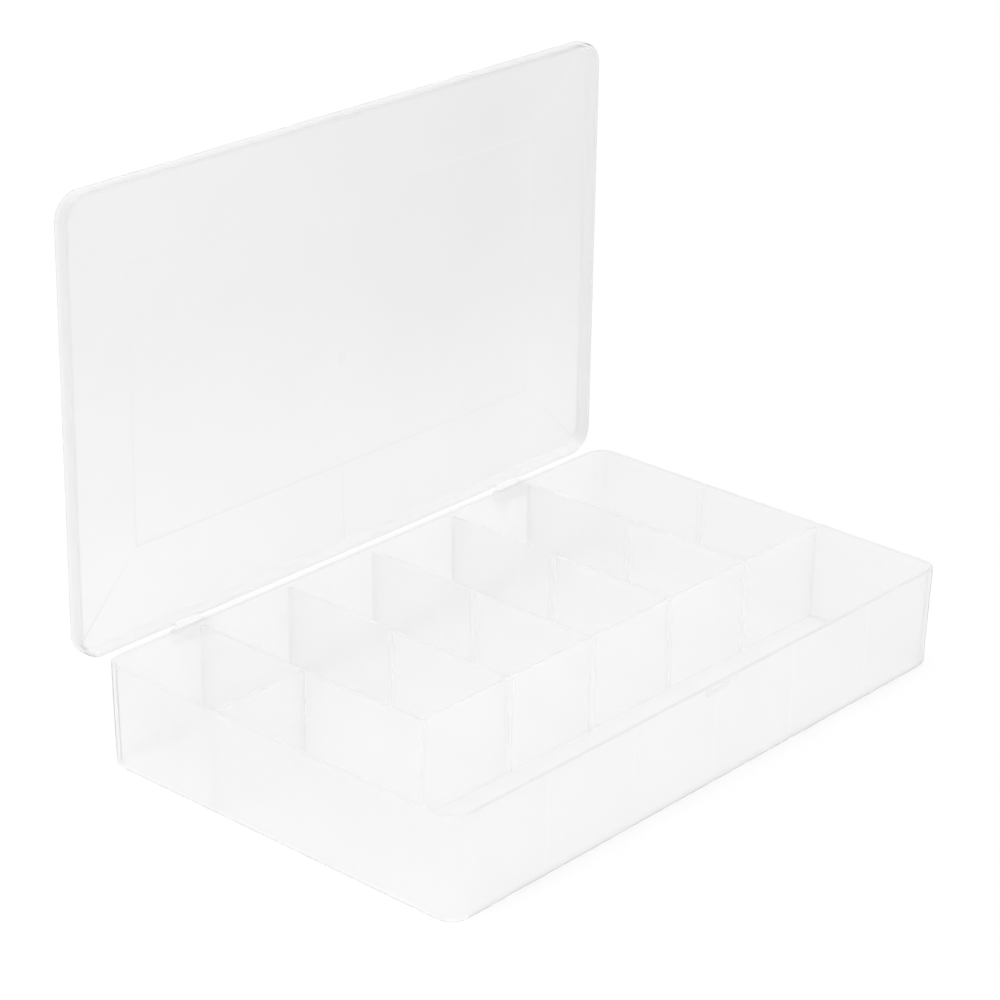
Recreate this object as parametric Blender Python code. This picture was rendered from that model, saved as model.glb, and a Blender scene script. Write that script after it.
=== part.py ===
"""Hinged compartment box for small parts: an open tray with dividers, and a lid that stands open.

Blender script, metres, +Z up. +X runs along the hinge, +Y points to the hinge side, and the origin
is the centre of the tray's underside. The lid is built closed, about its hinge axis, and its pivot
empty turns it open.
"""

import math

import bmesh
import bpy
from mathutils import Vector

MM = 0.001

# Tray
TRAY_LENGTH = 275 * MM
TRAY_DEPTH = 170 * MM
TRAY_HEIGHT = 41 * MM
TRAY_WALL = 1.5 * MM
TRAY_FLOOR = 1.5 * MM
TRAY_TAPER = 0.7 * MM
TRAY_CORNER_RADIUS = 8 * MM
TRAY_EDGE_RADIUS = 2.5 * MM
FLOOR_FILLET = 1.0 * MM

# Compartments
COLUMNS = 6
ROW_PITCH = 56.8 * MM
DIVIDER_THICKNESS = 1.2 * MM
DIVIDER_DROP = 1.2 * MM
FIT_GAP = 0.3 * MM

# Guide ribs that hold the ends of a loose divider
RIB_WIDTH = 0.8 * MM
RIB_HEIGHT = 1.2 * MM
RIB_TOP_DROP = 0.6 * MM

# Lid
LID_WALL = 1.4 * MM
LID_PANEL = 1.4 * MM
LID_SKIRT = 6.8 * MM
LID_CLEARANCE = 0.8 * MM
LID_GAP = 0.4 * MM
LID_EDGE_RADIUS = 1.2 * MM
LID_MARGIN = 33 * MM
LID_RISE = 1.0 * MM
LID_FIELD_RADIUS = 1.0 * MM
LID_OPEN_ANGLE = math.radians(90)

# Hinge
HINGE_INSET = 49 * MM
HINGE_BELOW_SKIRT = 2.2 * MM
PIN_RADIUS = 1.5 * MM
PIN_GAP = 0.3 * MM
BARREL_RADIUS = 3.0 * MM
BARREL_WIDTH = 11.5 * MM
BARREL_SIDE_GAP = 0.4 * MM
BARREL_CLEARANCE = 0.8 * MM
BARREL_ARC = (160, 440)
ARM_RISE = 3.0 * MM
LUG_THICKNESS = 2.4 * MM
LUG_NOSE_ARC = (100, -65)
LUG_TOP = 1.0 * MM
LUG_FOOT = 7.0 * MM

# Front catch
NUB_LENGTH = 13 * MM
NUB_PROUD = 0.45 * MM
NUB_TOP_DROP = 0.9 * MM
NUB_HEIGHT = 2.2 * MM
NUB_SLOPE = 0.6 * MM
BEAD_LENGTH = 18 * MM
BEAD_PROUD = 0.2 * MM
BEAD_HEIGHT = 1.0 * MM
THUMB_LENGTH = 32 * MM
THUMB_DEPTH = 0.4 * MM
THUMB_BORDER = 1.2 * MM

# How finely round stretches are divided, and the angle past which an edge stays sharp
CORNER_STEPS = 6
EDGE_STEPS = 3
ROUND_STEPS = 24
SHARP_ANGLE = math.radians(30)

# Surfaces: linear colours, roughness and how far the plastic hides what is behind it
FROSTED_COLOUR = (0.88, 0.90, 0.91)
FROSTED_ROUGHNESS = 0.45
FROSTED_ALPHA = 0.6
CLEAR_COLOUR = (0.90, 0.92, 0.93)
CLEAR_ROUGHNESS = 0.35

# Places that follow from the sizes above
HALF_LENGTH = TRAY_LENGTH / 2
HALF_DEPTH = TRAY_DEPTH / 2
INNER_LENGTH = TRAY_LENGTH - 2 * TRAY_WALL
INNER_DEPTH = TRAY_DEPTH - 2 * TRAY_WALL
COLUMN_PITCH = INNER_LENGTH / COLUMNS
CROSS_PLACES = [-INNER_LENGTH / 2 + COLUMN_PITCH * column for column in range(1, COLUMNS)]
LONG_DIVIDER_PLACE = -INNER_DEPTH / 2 + ROW_PITCH
BACK_ROW_PLACE = -INNER_DEPTH / 2 + 2 * ROW_PITCH
HALF_DIVIDER = DIVIDER_THICKNESS / 2
DIVIDER_BASE = TRAY_FLOOR + FIT_GAP
DIVIDER_TOP = TRAY_HEIGHT - DIVIDER_DROP
RIB_TOP = DIVIDER_TOP - RIB_TOP_DROP
RIB_ROOT = min(TRAY_WALL, TRAY_FLOOR, DIVIDER_THICKNESS) / 3

LID_OVERHANG = LID_CLEARANCE + LID_WALL
LID_HALF_LENGTH = HALF_LENGTH + LID_OVERHANG
LID_HALF_DEPTH = HALF_DEPTH + LID_OVERHANG
LID_TOP = TRAY_HEIGHT + LID_GAP + LID_PANEL
LID_RIM = LID_TOP - LID_SKIRT

HINGE_Y = LID_HALF_DEPTH + BARREL_CLEARANCE + BARREL_RADIUS
HINGE_Z = LID_RIM - HINGE_BELOW_SKIRT
HINGE_PLACES = {"left": -HALF_LENGTH + HINGE_INSET, "right": HALF_LENGTH - HINGE_INSET}
PIN_LENGTH = BARREL_WIDTH + 2 * (BARREL_SIDE_GAP + LUG_THICKNESS)


def clear_scene():
    """Take every object out of the open file."""
    for item in list(bpy.data.objects):
        bpy.data.objects.remove(item, do_unlink=True)


def make_material(name, colour, roughness, alpha):
    """Return a Principled plastic material for one piece."""
    material = bpy.data.materials.new(name)
    material.use_nodes = True
    shader = material.node_tree.nodes["Principled BSDF"]
    shader.inputs["Base Color"].default_value = (*colour, 1.0)
    shader.inputs["Roughness"].default_value = roughness
    shader.inputs["Metallic"].default_value = 0.0
    shader.inputs["Alpha"].default_value = alpha
    return material


def frosted(name):
    """Return the frosted, half see-through plastic of the mouldings."""
    return make_material(f"{name}_polypropylene", FROSTED_COLOUR, FROSTED_ROUGHNESS, FROSTED_ALPHA)


def clear(name, alpha):
    """Return the smoother natural plastic of the loose divider and the pins."""
    return make_material(f"{name}_polypropylene", CLEAR_COLOUR, CLEAR_ROUGHNESS, alpha)


def add_object(name, bm, material=None, parent=None):
    """Turn a bmesh into a named object with outward faces and one material."""
    bmesh.ops.recalc_face_normals(bm, faces=bm.faces[:])
    mesh = bpy.data.meshes.new(name)
    bm.to_mesh(mesh)
    bm.free()
    item = bpy.data.objects.new(name, mesh)
    bpy.context.collection.objects.link(item)
    item.parent = parent
    if material:
        mesh.materials.append(material)
        mesh.shade_smooth()
        mesh.set_sharp_from_angle(angle=SHARP_ANGLE)
    return item


def combine(item, tool, operation):
    """Join a hidden tool to an object, or cut it out of the object."""
    tool.hide_render = True
    tool.display_type = "WIRE"
    modifier = item.modifiers.new(tool.name, "BOOLEAN")
    modifier.operation = operation
    modifier.solver = "EXACT"
    modifier.object = tool


def rounded_ring(half_x, half_y, radius, height):
    """Return the points of a rectangle with round corners, anticlockwise at one height."""
    points = []
    for corner, (sign_x, sign_y) in enumerate(((1, 1), (-1, 1), (-1, -1), (1, -1))):
        centre_x = sign_x * (half_x - radius)
        centre_y = sign_y * (half_y - radius)
        for step in range(CORNER_STEPS + 1):
            angle = math.radians(90) * (corner + step / CORNER_STEPS)
            x = centre_x + radius * math.cos(angle)
            y = centre_y + radius * math.sin(angle)
            points.append(Vector((x, y, height)))
    return points


def loft(bm, rings):
    """Skin a row of rings with equal point counts, and close its two ends."""
    rows = [[bm.verts.new(point) for point in ring] for ring in rings]
    for lower, upper in zip(rows, rows[1:]):
        count = len(lower)
        for index in range(count):
            after = (index + 1) % count
            bm.faces.new((lower[index], lower[after], upper[after], upper[index]))
    bm.faces.new(rows[0])
    bm.faces.new(rows[-1])


def extrude_outline(bm, outline, start, span):
    """Add a closed prism: an outline of points moved to start, and carried along span."""
    near = [bm.verts.new(start + point) for point in outline]
    face = bm.faces.new(near)
    carried = bmesh.ops.extrude_face_region(bm, geom=[face])["geom"]
    moved = [part for part in carried if isinstance(part, bmesh.types.BMVert)]
    bmesh.ops.translate(bm, verts=moved, vec=span)


def add_cylinder(bm, centre, radius, length):
    """Add a closed cylinder that lies along X."""
    outline = []
    for step in range(ROUND_STEPS):
        angle = 2 * math.pi * step / ROUND_STEPS
        outline.append(Vector((0, radius * math.cos(angle), radius * math.sin(angle))))
    extrude_outline(bm, outline, centre - Vector((length / 2, 0, 0)), Vector((length, 0, 0)))


def arc(radius, start, end, steps):
    """Return points of an arc in the YZ plane about the origin, from one angle to another in degrees."""
    points = []
    for step in range(steps + 1):
        angle = math.radians(start + (end - start) * step / steps)
        points.append(Vector((0, radius * math.cos(angle), radius * math.sin(angle))))
    return points


def wall_inset(height):
    """Return how far the tapered wall has drawn in at a height above the underside."""
    return TRAY_TAPER * (1 - height / TRAY_HEIGHT)


def tray_ring(inset, height):
    """Return the tray's outline at a height, moved in from the outer wall face there."""
    total = inset + wall_inset(height)
    return rounded_ring(HALF_LENGTH - total, HALF_DEPTH - total, TRAY_CORNER_RADIUS - total, height)


def tray_shell_rings():
    """Return the tray's rings, from the underside over the rim and down to the floor."""
    rings = []
    for step in range(EDGE_STEPS + 1):
        angle = math.radians(90) * step / EDGE_STEPS
        inset = TRAY_EDGE_RADIUS * (1 - math.sin(angle))
        rings.append(tray_ring(inset, TRAY_EDGE_RADIUS * (1 - math.cos(angle))))
    rings.append(tray_ring(0, TRAY_HEIGHT))
    rings.append(tray_ring(TRAY_WALL, TRAY_HEIGHT))
    for step in range(EDGE_STEPS + 1):
        angle = math.radians(90) * step / EDGE_STEPS
        inset = TRAY_WALL + FLOOR_FILLET * (1 - math.cos(angle))
        rings.append(tray_ring(inset, TRAY_FLOOR + FLOOR_FILLET * (1 - math.sin(angle))))
    return rings


def add_guide(bm, root, outward, along, base, lean=0.0):
    """Add a pair of guide ribs that hold the end of a loose divider between them.

    root is the point of the wall face at the ribs' top, outward the way the ribs stand, along the way
    from one rib to the other, and lean how far the face draws in between the ribs' top and base.
    """
    for side in (-1, 1):
        near = HALF_DIVIDER + FIT_GAP
        shift = along * side * (near + RIB_WIDTH / 2)
        foot = Vector((root.x, root.y, base)) + outward * lean + shift
        head = Vector((root.x, root.y, RIB_TOP)) + shift
        corners = []
        for across, reach in ((-1, -RIB_ROOT), (1, -RIB_ROOT), (1, RIB_HEIGHT), (-1, RIB_HEIGHT)):
            corners.append(along * across * RIB_WIDTH / 2 + outward * reach)
        loft(bm, [[foot + corner for corner in corners], [head + corner for corner in corners]])


def build_tray(material):
    """Make the tray: shell, guide ribs on its walls, hinge lugs and the front catch nub."""
    bm = bmesh.new()
    loft(bm, tray_shell_rings())
    tray = add_object("tray", bm, material)

    ribs = bmesh.new()
    base = TRAY_FLOOR - RIB_ROOT
    lean = wall_inset(base) - wall_inset(RIB_TOP)
    along_x = Vector((1, 0, 0))
    along_y = Vector((0, 1, 0))
    inner_front = -HALF_DEPTH + TRAY_WALL + wall_inset(RIB_TOP)
    inner_end = HALF_LENGTH - TRAY_WALL - wall_inset(RIB_TOP)
    for place in CROSS_PLACES:
        add_guide(ribs, Vector((place, inner_front, 0)), along_y, along_x, base, lean)
    add_guide(ribs, Vector((-inner_end, BACK_ROW_PLACE, 0)), along_x, along_y, base, lean)
    add_guide(ribs, Vector((inner_end, BACK_ROW_PLACE, 0)), -along_x, along_y, base, lean)
    combine(tray, add_object("tray_guide_ribs", ribs), "UNION")

    lugs = bmesh.new()
    for place in HINGE_PLACES.values():
        for side in (-1, 1):
            middle = place + side * (BARREL_WIDTH / 2 + BARREL_SIDE_GAP + LUG_THICKNESS / 2)
            start = Vector((middle - LUG_THICKNESS / 2, HINGE_Y, HINGE_Z))
            extrude_outline(lugs, lug_outline(), start, Vector((LUG_THICKNESS, 0, 0)))
    combine(tray, add_object("tray_hinge_lugs", lugs), "UNION")

    nub = bmesh.new()
    start = Vector((-NUB_LENGTH / 2, -HALF_DEPTH, TRAY_HEIGHT - NUB_TOP_DROP))
    extrude_outline(nub, nub_outline(), start, Vector((NUB_LENGTH, 0, 0)))
    combine(tray, add_object("tray_catch_nub", nub), "UNION")

    combine(tray, pin_holes("tray_pin_holes"), "DIFFERENCE")
    return tray


def lug_outline():
    """Return a hinge lug's side view about the hinge axis: a foot on the wall and a round nose."""
    wall = HALF_DEPTH - TRAY_WALL / 2 - HINGE_Y
    nose = arc(BARREL_RADIUS, *LUG_NOSE_ARC, ROUND_STEPS // 2)
    return [Vector((0, wall, LUG_TOP)), *nose, Vector((0, wall, -LUG_FOOT))]


def nub_outline():
    """Return the catch nub's side view, from the wall outwards, about its top edge."""
    root = TRAY_WALL / 2
    return [
        Vector((0, root, 0)),
        Vector((0, 0, 0)),
        Vector((0, -NUB_PROUD, -NUB_SLOPE)),
        Vector((0, -NUB_PROUD, NUB_SLOPE - NUB_HEIGHT)),
        Vector((0, 0, -NUB_HEIGHT)),
        Vector((0, root, -NUB_HEIGHT)),
    ]


def pin_holes(name, parent=None):
    """Return a hidden tool for the holes that the hinge pins go through."""
    centre = Vector((0, 0, 0)) if parent else Vector((0, HINGE_Y, HINGE_Z))
    holes = bmesh.new()
    for place in HINGE_PLACES.values():
        middle = Vector((place, centre.y, centre.z))
        add_cylinder(holes, middle, PIN_RADIUS + PIN_GAP, PIN_LENGTH + 2 * LUG_THICKNESS)
    return add_object(name, holes, parent=parent)


def divider_outline(start, end, start_on_wall, end_on_wall):
    """Return a divider's face outline as (distance, height) pairs.

    An end on a tapered tray wall leans with it and clears the fillet at the floor. Any other end
    stands upright.
    """
    chamfer = FLOOR_FILLET
    points = []
    for place, on_wall, inward in ((end, end_on_wall, -1), (start, start_on_wall, 1)):
        if on_wall:
            bend = DIVIDER_BASE + chamfer
            foot = place + inward * wall_inset(bend)
            head = place + inward * wall_inset(DIVIDER_TOP)
            run = [(foot + inward * chamfer, DIVIDER_BASE), (foot, bend), (head, DIVIDER_TOP)]
        else:
            run = [(place, DIVIDER_BASE), (place, DIVIDER_TOP)]
        points.extend(run if inward < 0 else reversed(run))
    return points


def build_long_divider(material):
    """Make the lengthwise divider behind the front row, with guides for the front row's loose ones."""
    start = CROSS_PLACES[0] + HALF_DIVIDER + FIT_GAP
    end = HALF_LENGTH - TRAY_WALL - FIT_GAP
    outline = [Vector((x, 0, z)) for x, z in divider_outline(start, end, False, True)]
    bm = bmesh.new()
    near = Vector((0, LONG_DIVIDER_PLACE - HALF_DIVIDER, 0))
    extrude_outline(bm, outline, near, Vector((0, DIVIDER_THICKNESS, 0)))
    divider = add_object("long_divider", bm, material)

    ribs = bmesh.new()
    for place in CROSS_PLACES[1:]:
        root = Vector((place, LONG_DIVIDER_PLACE - HALF_DIVIDER, 0))
        add_guide(ribs, root, Vector((0, -1, 0)), Vector((1, 0, 0)), DIVIDER_BASE)
    combine(divider, add_object("long_divider_ribs", ribs), "UNION")
    return divider


def build_cross_divider(number, place, material):
    """Make one divider from the long divider to the back wall, with a guide on each face."""
    rear_face = LONG_DIVIDER_PLACE + HALF_DIVIDER
    covers_long_end = number == 1
    start = LONG_DIVIDER_PLACE - HALF_DIVIDER if covers_long_end else rear_face + FIT_GAP
    end = HALF_DEPTH - TRAY_WALL - FIT_GAP
    outline = [Vector((0, y, z)) for y, z in divider_outline(start, end, False, True)]
    bm = bmesh.new()
    near = Vector((place - HALF_DIVIDER, 0, 0))
    extrude_outline(bm, outline, near, Vector((DIVIDER_THICKNESS, 0, 0)))
    divider = add_object(f"cross_divider_{number}", bm, material)

    ribs = bmesh.new()
    for side in (-1, 1):
        root = Vector((place + side * HALF_DIVIDER, BACK_ROW_PLACE, 0))
        add_guide(ribs, root, Vector((side, 0, 0)), Vector((0, 1, 0)), DIVIDER_BASE)
    combine(divider, add_object(f"cross_divider_{number}_ribs", ribs), "UNION")
    return divider


def build_loose_divider(material):
    """Make the divider that slides down between the left wall and the first cross divider."""
    start = -HALF_LENGTH + TRAY_WALL + FIT_GAP
    end = CROSS_PLACES[0] - HALF_DIVIDER - FIT_GAP
    middle = Vector(((start + end) / 2, BACK_ROW_PLACE, DIVIDER_BASE))
    outline = [Vector((x - middle.x, 0, z - middle.z)) for x, z in divider_outline(start, end, True, False)]
    bm = bmesh.new()
    extrude_outline(bm, outline, Vector((0, -HALF_DIVIDER, 0)), Vector((0, DIVIDER_THICKNESS, 0)))
    divider = add_object("loose_divider", bm, material)
    divider.location = middle
    return divider


def lid_ring(inset, height, on_slope=False):
    """Return a ring of the closed lid about its hinge axis, moved in from the skirt's outer face."""
    ring = rounded_ring(
        LID_HALF_LENGTH - inset,
        LID_HALF_DEPTH - inset,
        TRAY_CORNER_RADIUS + LID_OVERHANG - inset,
        height,
    )
    return place_lid_points(ring, on_slope)


def lid_field_ring(height):
    """Return the raised field's outline, whose nearly square corners end the mitred slopes."""
    ring = rounded_ring(
        LID_HALF_LENGTH - LID_MARGIN, LID_HALF_DEPTH - LID_MARGIN, LID_FIELD_RADIUS, height
    )
    return place_lid_points(ring, on_slope=True)


def place_lid_points(ring, on_slope):
    """Move a ring to the hinge axis, and lift it up the mitred slopes by its distance from the edge."""
    placed = []
    for point in ring:
        lift = 0.0
        if on_slope:
            reach = min(LID_HALF_LENGTH - abs(point.x), LID_HALF_DEPTH - abs(point.y))
            lift = LID_RISE * reach / LID_MARGIN
        placed.append(point + Vector((0, -HINGE_Y, lift - HINGE_Z)))
    return placed


def lid_shell_rings():
    """Return the lid's rings, from the top field out over the skirt and in to the underside."""
    rings = [lid_field_ring(LID_TOP)]
    for step in range(EDGE_STEPS + 1):
        angle = math.radians(90) * step / EDGE_STEPS
        inset = LID_EDGE_RADIUS * (1 - math.sin(angle))
        height = LID_TOP - LID_EDGE_RADIUS * (1 - math.cos(angle))
        rings.append(lid_ring(inset, height, on_slope=step == 0))
    rings.append(lid_ring(0, LID_RIM))
    rings.append(lid_ring(LID_WALL, LID_RIM))
    rings.append(lid_ring(LID_WALL, LID_TOP - LID_PANEL, on_slope=True))
    rings.append(lid_field_ring(LID_TOP - LID_PANEL))
    return rings


def arm_outline():
    """Return a hinge arm's side view about the hinge axis: it leaves the skirt and rounds the pin."""
    skirt = HALF_DEPTH + LID_CLEARANCE + LID_WALL / 2 - HINGE_Y
    rim = LID_RIM - HINGE_Z
    barrel = arc(BARREL_RADIUS, *BARREL_ARC, ROUND_STEPS)
    back = Vector((0, (skirt + barrel[-1].y) / 2, rim + ARM_RISE))
    return [Vector((0, skirt, rim)), *barrel, back, Vector((0, skirt, rim + ARM_RISE))]


def build_lid(material, pivot):
    """Make the lid: shell, hinge arms, catch bead and thumb recess, about the hinge axis."""
    bm = bmesh.new()
    loft(bm, lid_shell_rings())
    lid = add_object("lid", bm, material, pivot)

    arms = bmesh.new()
    for place in HINGE_PLACES.values():
        start = Vector((place - BARREL_WIDTH / 2, 0, 0))
        extrude_outline(arms, arm_outline(), start, Vector((BARREL_WIDTH, 0, 0)))
    combine(lid, add_object("lid_hinge_arms", arms, parent=pivot), "UNION")
    combine(lid, pin_holes("lid_pin_holes", pivot), "DIFFERENCE")

    front_inner = -HALF_DEPTH - LID_CLEARANCE - HINGE_Y
    rim = LID_RIM - HINGE_Z
    bead = bmesh.new()
    outline = [
        Vector((0, front_inner - LID_WALL / 2, rim + BEAD_HEIGHT)),
        Vector((0, front_inner, rim + BEAD_HEIGHT)),
        Vector((0, front_inner + BEAD_PROUD, rim + BEAD_HEIGHT / 2)),
        Vector((0, front_inner, rim + BEAD_HEIGHT / 4)),
        Vector((0, front_inner - LID_WALL / 2, rim + BEAD_HEIGHT / 4)),
    ]
    extrude_outline(bead, outline, Vector((-BEAD_LENGTH / 2, 0, 0)), Vector((BEAD_LENGTH, 0, 0)))
    combine(lid, add_object("lid_catch_bead", bead, parent=pivot), "UNION")

    front_outer = front_inner - LID_WALL
    thumb = bmesh.new()
    low = rim + THUMB_BORDER
    high = rim + LID_SKIRT - LID_EDGE_RADIUS - THUMB_BORDER
    outline = [
        Vector((0, front_outer - THUMB_DEPTH, low - THUMB_DEPTH)),
        Vector((0, front_outer + THUMB_DEPTH, low + THUMB_DEPTH)),
        Vector((0, front_outer + THUMB_DEPTH, high - THUMB_DEPTH)),
        Vector((0, front_outer - THUMB_DEPTH, high + THUMB_DEPTH)),
    ]
    extrude_outline(thumb, outline, Vector((-THUMB_LENGTH / 2, 0, 0)), Vector((THUMB_LENGTH, 0, 0)))
    combine(lid, add_object("lid_thumb_recess", thumb, parent=pivot), "DIFFERENCE")
    return lid


def build_hinge_pin(side, place, material):
    """Make one hinge pin, which lies in its two lugs and carries the lid's arm."""
    bm = bmesh.new()
    add_cylinder(bm, Vector((0, 0, 0)), PIN_RADIUS, PIN_LENGTH)
    pin = add_object(f"hinge_pin_{side}", bm, material)
    pin.location = (place, HINGE_Y, HINGE_Z)
    return pin


def main():
    """Build the box with its lid standing open."""
    clear_scene()
    build_tray(frosted("tray"))
    build_long_divider(frosted("long_divider"))
    for number, place in enumerate(CROSS_PLACES, start=1):
        build_cross_divider(number, place, frosted(f"cross_divider_{number}"))
    build_loose_divider(clear("loose_divider", FROSTED_ALPHA))

    pivot = bpy.data.objects.new("lid_pivot", None)
    bpy.context.collection.objects.link(pivot)
    pivot.location = (0, HINGE_Y, HINGE_Z)
    pivot.rotation_euler.x = -LID_OPEN_ANGLE
    build_lid(frosted("lid"), pivot)
    for side, place in HINGE_PLACES.items():
        build_hinge_pin(side, place, clear(f"hinge_pin_{side}", alpha=1.0))


main()
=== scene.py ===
"""Dressed model of a hinged compartment box for small parts, moulded in frosted polypropylene.

Blender script, metres, +Z up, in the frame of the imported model: +X runs along the hinge, +Y points to
the hinge side, the origin is the centre of the tray's underside, and the lid stands open. Each
moulding is modelled again over its solid, with fine rounds, softened rims and a frosted surface.
"""

import logging
import math
from collections.abc import Callable, Iterable
from dataclasses import dataclass, field, replace
from enum import Enum
from functools import partial

import bmesh
import bpy
from mathutils import Matrix, Vector


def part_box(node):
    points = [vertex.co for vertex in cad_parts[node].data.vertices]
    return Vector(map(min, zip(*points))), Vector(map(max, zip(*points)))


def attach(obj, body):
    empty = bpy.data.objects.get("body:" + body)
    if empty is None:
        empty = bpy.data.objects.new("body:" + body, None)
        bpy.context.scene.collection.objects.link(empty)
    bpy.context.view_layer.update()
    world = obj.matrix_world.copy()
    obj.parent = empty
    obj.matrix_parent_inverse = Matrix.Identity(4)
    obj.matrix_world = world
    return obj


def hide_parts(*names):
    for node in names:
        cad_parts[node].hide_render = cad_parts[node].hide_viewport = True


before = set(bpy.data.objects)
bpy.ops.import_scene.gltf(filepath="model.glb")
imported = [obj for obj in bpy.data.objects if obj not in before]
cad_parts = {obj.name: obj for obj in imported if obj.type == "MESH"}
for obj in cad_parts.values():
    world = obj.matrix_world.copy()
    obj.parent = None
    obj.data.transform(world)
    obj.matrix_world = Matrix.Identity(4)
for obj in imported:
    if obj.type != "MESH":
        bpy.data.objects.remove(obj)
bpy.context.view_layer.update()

LOG = logging.getLogger("parts_organizer")
MM = 0.001

# The cross dividers' numbers, counted from the left
CROSS_DIVIDERS = range(1, 6)

# How finely rounds are divided, and the angle past which an edge stays sharp
CORNER_SEGMENTS = 15
EDGE_SEGMENTS = 5
FINE_SEGMENTS = 3
SOFT_SEGMENTS = 2
ROUND_SEGMENTS = 48
SHARP_ANGLE = math.radians(35)

# How a cylinder primitive is turned to lie along an axis
ALONG_X = (0.0, math.radians(90), 0.0)
ALONG_Y = (math.radians(90), 0.0, 0.0)

# How near two places count as one, in millimetres, and how much of a direction counts as along an axis
NEAR = 0.02
FLAT = 0.9

Piece = bpy.types.Object
Face = bmesh.types.BMFace
Point = tuple[float, float, float]
Test = Callable[[object], bool]


class Body(Enum):
    """The two bodies that move against each other."""

    TRAY = "tray"
    LID = "lid"


class Slot(Enum):
    """The record's material slots."""

    FROSTED = "frosted_polypropylene"
    NATURAL = "natural_polypropylene"
    PIN = "pin_plastic"


class Element(Enum):
    """The kinds of mesh element that edit mode can select."""

    VERT = "verts"
    EDGE = "edges"
    FACE = "faces"


class Zone(Enum):
    """The zones of a moulding that look different, in the order of its material slots.

    An edge is a guide rib, a strip of wall that backs a pair of ribs, or the lid's skirt. The ribs and
    strips are painted light, as ribs that show through a wall. A fold is a fold line, a rim, the catch
    nub, the gate mark or the round of a divider's top. The fold lines, rims and rounds are painted darker,
    as thin lines of shade, and the foot is painted with a contact shadow.
    """

    WALL = 0
    EDGE = 1
    FOLD = 2
    HINGE = 3
    FLOOR = 4
    FOOT = 5


class Joining(Enum):
    """The ways in which a tool changes a piece."""

    ADD = "UNION"
    CUT = "DIFFERENCE"


def linear(colour: str) -> tuple[float, float, float, float]:
    """Turn an sRGB hex colour into linear values with full alpha.

    Args:
        colour: Six hex digits, with or without a leading hash.

    Returns:
        Linear red, green, blue and alpha.
    """
    digits = colour.lstrip("#")
    values = []
    for start in (0, 2, 4):
        level = int(digits[start:start + 2], 16) / 255
        values.append(level / 12.92 if level <= 0.04045 else ((level + 0.055) / 1.055) ** 2.4)
    return (values[0], values[1], values[2], 1.0)


def add_node(
    tree: bpy.types.NodeTree,
    kind: str,
    inputs: dict[str | int, object] | None = None,
    **settings: object,
) -> bpy.types.Node:
    """Add one shader node with its settings, values and links.

    Args:
        tree: The node tree that takes the node.
        kind: The node's type name without its ShaderNode prefix.
        inputs: Values or output sockets, by input name or index.
        **settings: Properties of the node itself.

    Returns:
        The new node.
    """
    node = tree.nodes.new(f"ShaderNode{kind}")
    for name, value in settings.items():
        setattr(node, name, value)
    for name, value in (inputs or {}).items():
        if isinstance(value, bpy.types.NodeSocket):
            tree.links.new(value, node.inputs[name])
        else:
            node.inputs[name].default_value = value
    return node


def add_seen_rays(tree: bpy.types.NodeTree) -> bpy.types.NodeSocket:
    """Add nodes that say whether a ray shows the background: to the eye, in gloss or through plastic.

    Args:
        tree: The node tree that takes the nodes.

    Returns:
        A socket that is 1 for such a ray and 0 for a ray that only carries light.
    """
    rays = add_node(tree, "LightPath").outputs
    shown = add_node(
        tree, "Math", {0: rays["Is Camera Ray"], 1: rays["Is Glossy Ray"]}, operation="MAXIMUM"
    )
    through = {0: shown.outputs[0], 1: rays["Is Transmission Ray"]}
    return add_node(tree, "Math", through, operation="MAXIMUM").outputs[0]


@dataclass(frozen=True)
class PaintedShadeRamp:
    """Painted shade that grows along one axis of a moulding, between two places in millimetres.

    A share below 0 takes haze and painted shade away.
    """

    axis: str
    clear: float
    hazy: float
    share: float


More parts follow.
